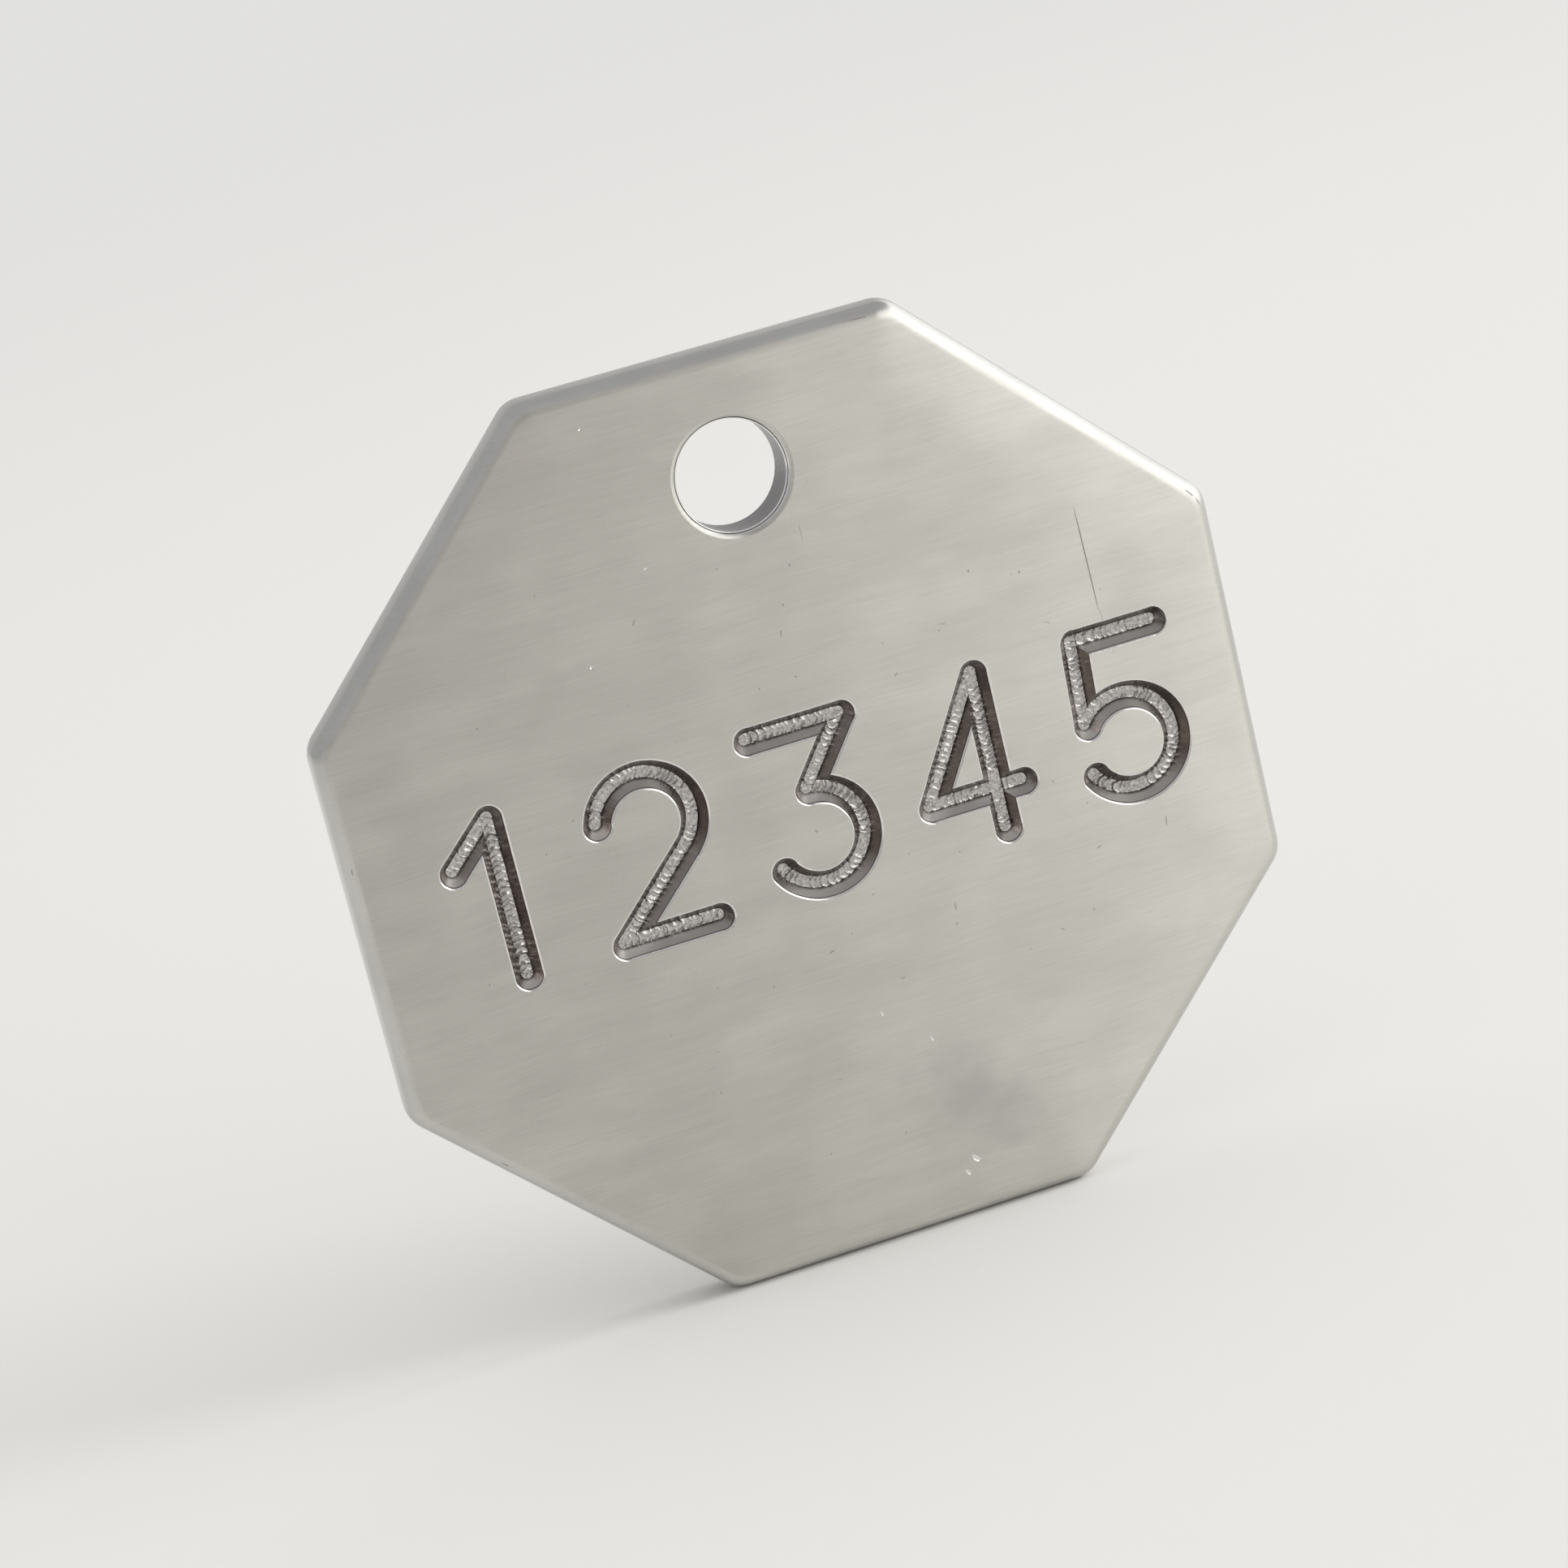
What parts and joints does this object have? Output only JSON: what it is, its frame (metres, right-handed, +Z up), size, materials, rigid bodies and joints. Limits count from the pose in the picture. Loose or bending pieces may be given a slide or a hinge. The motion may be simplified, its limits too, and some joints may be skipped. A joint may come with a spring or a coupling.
{
  "type": "pet id tag",
  "caption": "Octagonal brushed steel pet tag with a rounded rim, a hole for a split ring at the top, and plain numerals milled across the face",
  "frame": {"origin": "middle of the ring hole, at half the plate's thickness", "axes": "+Z up from the numerals to the ring hole, -Y the way the engraved face looks, +X to the right as the numerals are read"},
  "size_m": [0.032, 0.002, 0.032],
  "materials": {
    "brushed_stainless": "satin brushed faces, tumbled rim, milled grooves"
  },
  "bodies": {
    "root": {"tag_plate": "brushed_stainless"}
  },
  "joints": []
}
